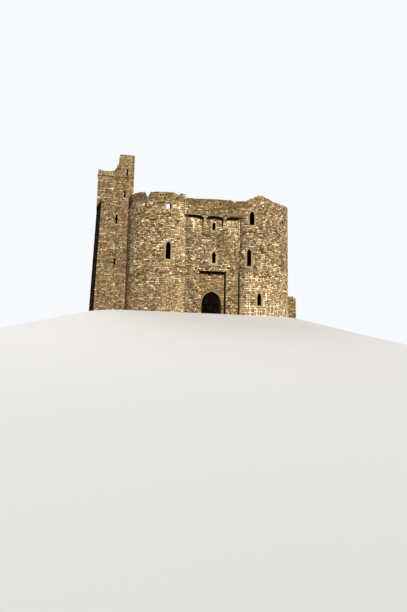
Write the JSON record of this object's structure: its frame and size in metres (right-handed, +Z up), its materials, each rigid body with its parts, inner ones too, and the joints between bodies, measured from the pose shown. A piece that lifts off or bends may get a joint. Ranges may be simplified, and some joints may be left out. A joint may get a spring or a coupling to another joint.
{
  "type": "castle keep",
  "caption": "Ruined stone gatehouse keep: round-fronted towers flank a gate bay with arches over a bridge recess, beside a tall square watch turret.",
  "frame": {"origin": "on the ground in the middle of the gate, at the front face of the bay between the towers", "axes": "+Z up, the front with the gate faces -Y, the watch turret is on the -X side"},
  "size_m": [28.03, 16.6, 22.52],
  "materials": {
    "rubble_stone": "rough rubble masonry with lime joints",
    "dressed_stone": "worn pale dressed limestone",
    "lichened_stone": "rubble masonry with ochre lichen and moss"
  },
  "bodies": {
    "root": {"left_outer_wall": "rubble_stone", "left_front_wall": "rubble_stone", "left_inner_wall": "rubble_stone", "left_side_wall": "rubble_stone", "left_rear_wall": "rubble_stone", "left_lower_floor": "rubble_stone", "left_upper_floor": "rubble_stone", "left_parapet": "lichened_stone", "right_outer_wall": "rubble_stone", "right_front_wall": "rubble_stone", "right_inner_wall": "rubble_stone", "right_side_wall": "rubble_stone", "right_rear_wall": "rubble_stone", "right_lower_floor": "rubble_stone", "right_upper_floor": "rubble_stone", "right_roof": "rubble_stone", "right_parapet": "lichened_stone", "left_passage_wall": "rubble_stone", "right_passage_wall": "rubble_stone", "gate_panel": "rubble_stone", "gate_arch": "dressed_stone", "gate_sill": "dressed_stone", "passage_vault": "rubble_stone", "bay_middle_wall": "rubble_stone", "bay_upper_wall": "rubble_stone", "machicolation": "rubble_stone", "bay_upper_floor": "rubble_stone", "bay_roof": "rubble_stone", "rear_gate_wall": "rubble_stone", "rear_parapet": "lichened_stone", "turret_front_wall": "rubble_stone", "turret_left_wall": "rubble_stone", "turret_right_wall": "rubble_stone", "turret_rear_wall": "rubble_stone", "turret_roof": "rubble_stone", "turret_parapet": "lichened_stone", "stair_head_front": "rubble_stone", "stair_head_rear": "rubble_stone", "curtain_wall": "rubble_stone", "left_lancet_frame": "dressed_stone", "left_window_frame": "dressed_stone", "right_upper_frame": "dressed_stone", "right_middle_frame": "dressed_stone", "right_lower_frame": "dressed_stone", "bay_upper_frame": "dressed_stone", "bay_lower_frame": "dressed_stone"}
  },
  "joints": []
}
